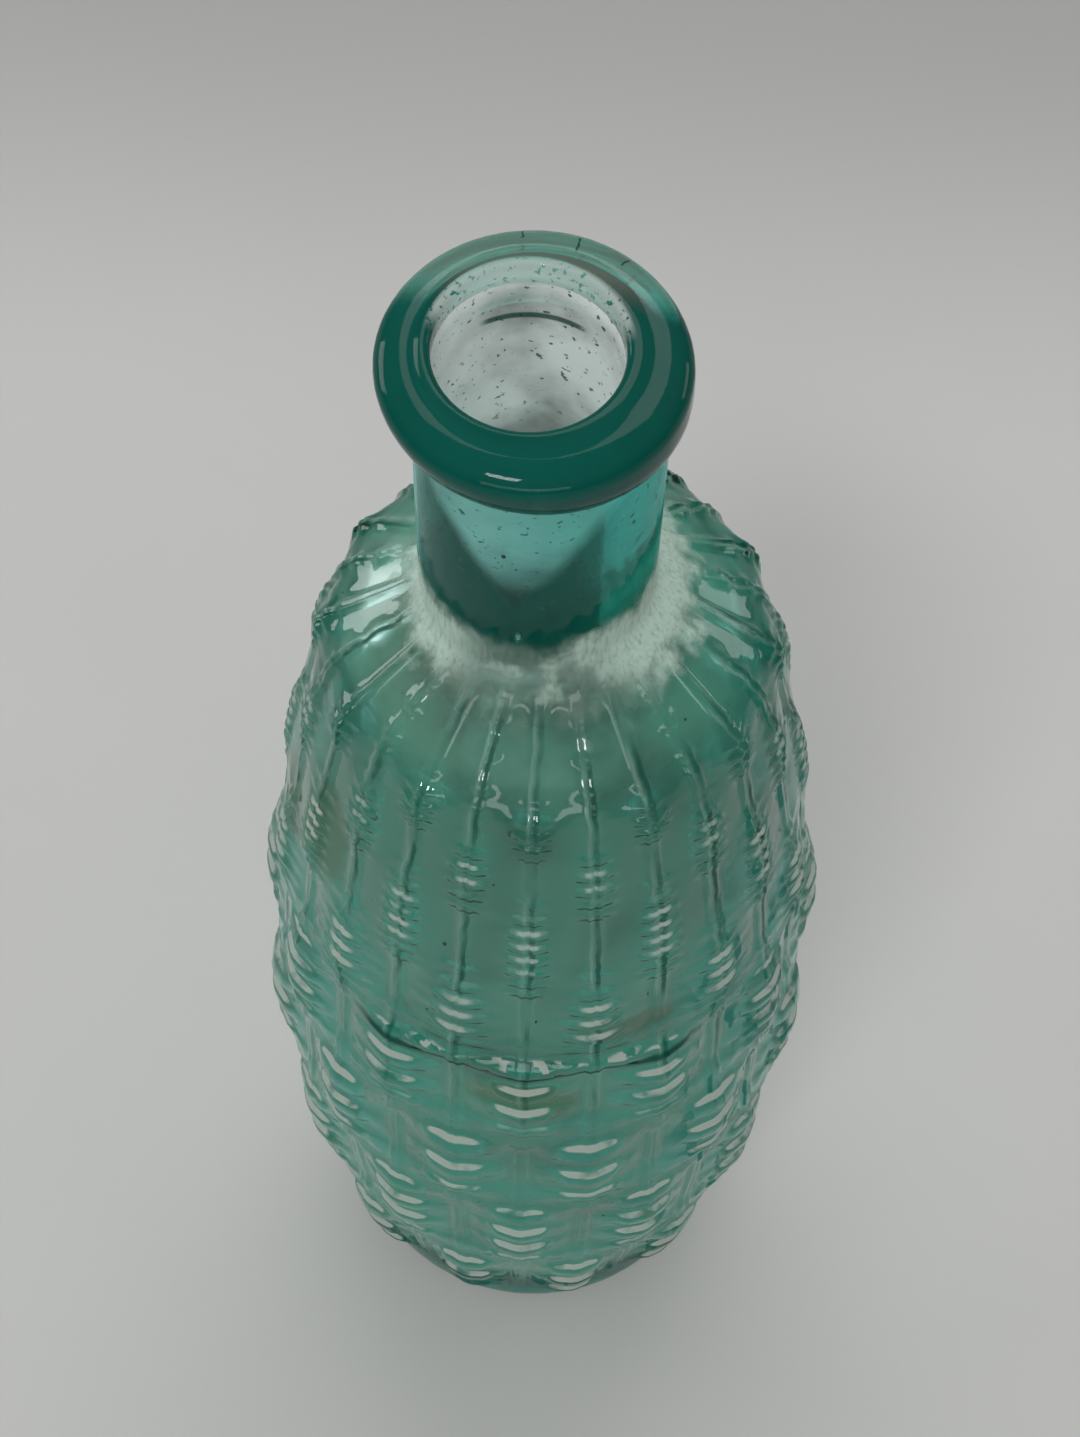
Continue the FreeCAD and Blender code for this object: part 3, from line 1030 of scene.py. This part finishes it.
def make_floor():
    vertices = [(x * FLOOR_HALF, y * FLOOR_HALF, 0) for x, y in ((-1, -1), (1, -1), (1, 1), (-1, 1))]
    new_object("floor", vertices, [(0, 1, 2, 3)], [0], [floor_material()])


def area_light(name, place, size, power):
    light = bpy.data.lights.new(name, "AREA")
    light.shape = "RECTANGLE"
    light.size, light.size_y = size
    light.energy = power
    obj = bpy.data.objects.new(name, light)
    bpy.context.scene.collection.objects.link(obj)
    obj.location = place
    obj.rotation_euler = (Vector(LIGHT_TARGET) - Vector(place)).to_track_quat("-Z", "Y").to_euler()


def make_lights():
    """Soft lights, and pale walls that are brighter high up."""
    for light in LIGHTS:
        area_light(*light)
    world = bpy.data.worlds.new("studio")
    world.use_nodes = True
    g = Graph(world.node_tree, "Generated")
    background = world.node_tree.nodes["Background"]
    walls = g.ramp(g.z, [(0.0, 0.3), (0.3, 0.55), (0.6, 0.9), (1.0, 0.8)])
    g.put(walls, background.inputs["Color"])
    g.put(WORLD_STRENGTH, background.inputs["Strength"])
    bpy.context.scene.world = world


def make_camera():
    """Looks steeply down on the mouth. Lengths in the picture are shares of its height."""
    sensor = 36
    focal = 3.13
    lip_radius = 0.1127
    lip_up, lip_right = 0.247, -0.0035
    lip_middle = 2.7 * MM  # below the top of the lip
    down, turn, roll = math.radians(59.7), math.radians(2.5), math.radians(1.7)
    camera = bpy.data.cameras.new("camera")
    camera.sensor_fit = "VERTICAL"
    camera.sensor_height = sensor
    camera.lens = sensor * focal
    obj = bpy.data.objects.new("camera", camera)
    bpy.context.scene.collection.objects.link(obj)
    ahead = Vector((-math.sin(turn) * math.cos(down), math.cos(turn) * math.cos(down), -math.sin(down)))
    level = Vector((math.cos(turn), math.sin(turn), 0))
    upright = level.cross(ahead)
    side = level * math.cos(roll) + upright * math.sin(roll)
    above = upright * math.cos(roll) - level * math.sin(roll)
    depth = LIP_RADIUS * focal / lip_radius
    lip = Vector((LIP_X, 0, TOP - lip_middle))
    obj.location = lip - ahead * depth - (above * lip_up + side * lip_right) * depth / focal
    obj.rotation_euler = Matrix((side, above, -ahead)).transposed().to_euler()
    bpy.context.scene.camera = obj


BOUNCES = 32  # light passes many skins of glass on its way through


def main():
    random.seed(SEED)
    weld = weld_material()
    body = make_body([outside_material(), weld, inside_material(), speck_material()])
    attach(body, "root")
    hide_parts("bottle_body")
    lip = make_lip([lip_material(), weld])
    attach(lip, "root")
    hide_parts("applied_lip")
    make_floor()
    make_lights()
    make_camera()
    scene = bpy.context.scene
    scene.view_settings.view_transform = "Standard"
    scene.cycles.max_bounces = BOUNCES
    scene.cycles.transmission_bounces = BOUNCES
    scene.cycles.transparent_max_bounces = BOUNCES


main()
